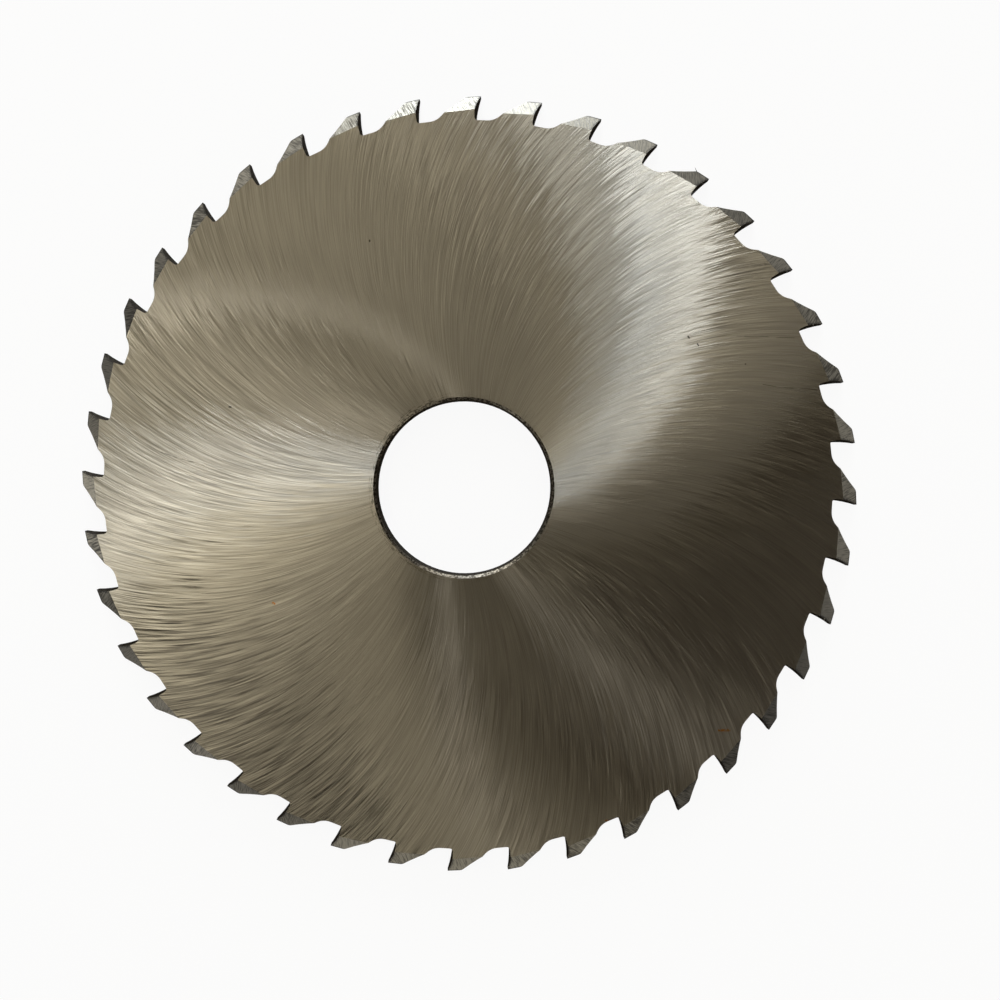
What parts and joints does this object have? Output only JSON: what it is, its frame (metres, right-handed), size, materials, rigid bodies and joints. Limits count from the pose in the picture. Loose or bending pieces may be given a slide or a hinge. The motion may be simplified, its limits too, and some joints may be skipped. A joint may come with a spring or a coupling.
{
  "type": "glazing bead saw blade",
  "caption": "Flat one-piece steel saw blade with a central bore; its hooked teeth point one way round, and each is bevelled on the same side.",
  "frame": {"origin": "on the bore's axis, at the underside, the plain side that lies down", "axes": "+Z along the bore's axis, out of the side where the teeth are bevelled; +X towards the tip of one tooth; seen from above the blade cuts clockwise"},
  "size_m": [0.135, 0.135, 0.004],
  "materials": {
    "ground_steel": "ground on both faces with a fine swirling lay, uncoated"
  },
  "bodies": {
    "root": {"saw_blade": "ground_steel"}
  },
  "joints": []
}
